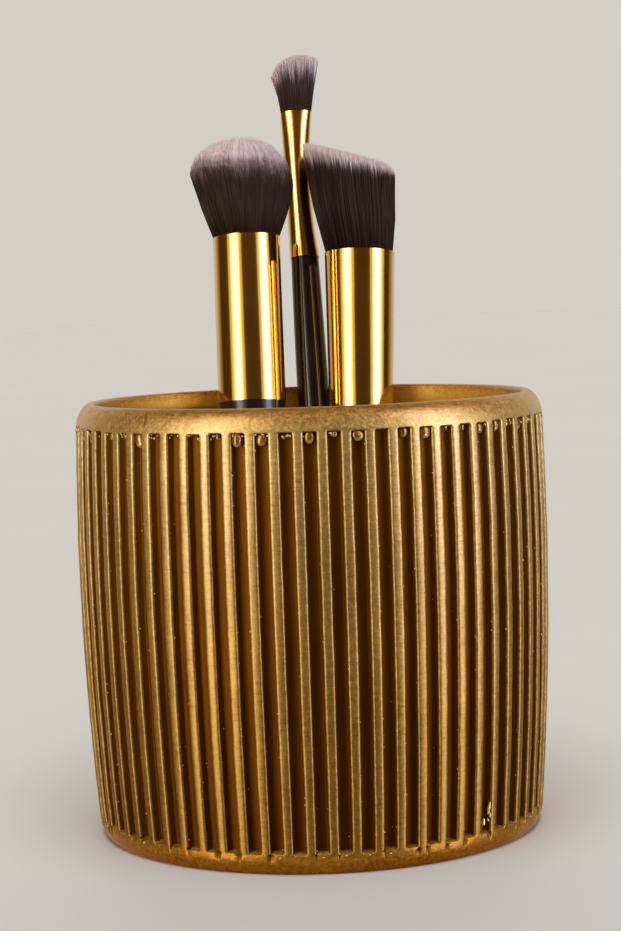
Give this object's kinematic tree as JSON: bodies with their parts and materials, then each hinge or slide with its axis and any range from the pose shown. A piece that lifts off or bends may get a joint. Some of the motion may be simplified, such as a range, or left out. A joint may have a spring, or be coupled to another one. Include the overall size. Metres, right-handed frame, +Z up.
{
  "type": "makeup brush holder",
  "caption": "Fluted barrel-shaped gold pot that holds makeup brushes upright; domed, angled and fan brushes with gold ferrules stand in it and lift out.",
  "frame": {"origin": "centre of the pot's flat base, on the surface it stands on", "axes": "+Z up out of the mouth, -Y towards the viewer of the picture, +X to the viewer's right"},
  "size_m": [0.1134, 0.1253, 0.1925],
  "materials": {
    "gold_casting": "cast mineral body under grainy metallic gold paint, satin",
    "black_lacquer": "turned wood under gloss black lacquer",
    "gold_metal": "mirror-polished gold-anodised tube",
    "hard_glue": "hardened amber epoxy",
    "brush_hair": "packed synthetic hair, dark brown with lavender-grey tips"
  },
  "bodies": {
    "pot": {"pot": "gold_casting"},
    "dome_brush": {"dome_brush_handle": "black_lacquer", "dome_brush_ferrule": "gold_metal", "dome_brush_glue": "hard_glue", "dome_brush_hair": "brush_hair"},
    "angled_brush": {"angled_brush_handle": "black_lacquer", "angled_brush_ferrule": "gold_metal", "angled_brush_glue": "hard_glue", "angled_brush_hair": "brush_hair"},
    "fan_brush": {"fan_brush_handle": "black_lacquer", "fan_brush_ferrule": "gold_metal", "fan_brush_glue": "hard_glue", "fan_brush_hair": "brush_hair"}
  },
  "joints": [
    {"name": "dome_brush_lift", "type": "slide", "parent": "pot", "child": "dome_brush", "axis": [-0.006, 0.1495, 0.9887], "range_m": [0, 0.11]},
    {"name": "angled_brush_lift", "type": "slide", "parent": "pot", "child": "angled_brush", "axis": [0.025, 0.1529, 0.9879], "range_m": [0, 0.11]},
    {"name": "fan_brush_lift", "type": "slide", "parent": "pot", "child": "fan_brush", "axis": [-0.029, 0.2078, 0.9777], "range_m": [0, 0.11]}
  ]
}
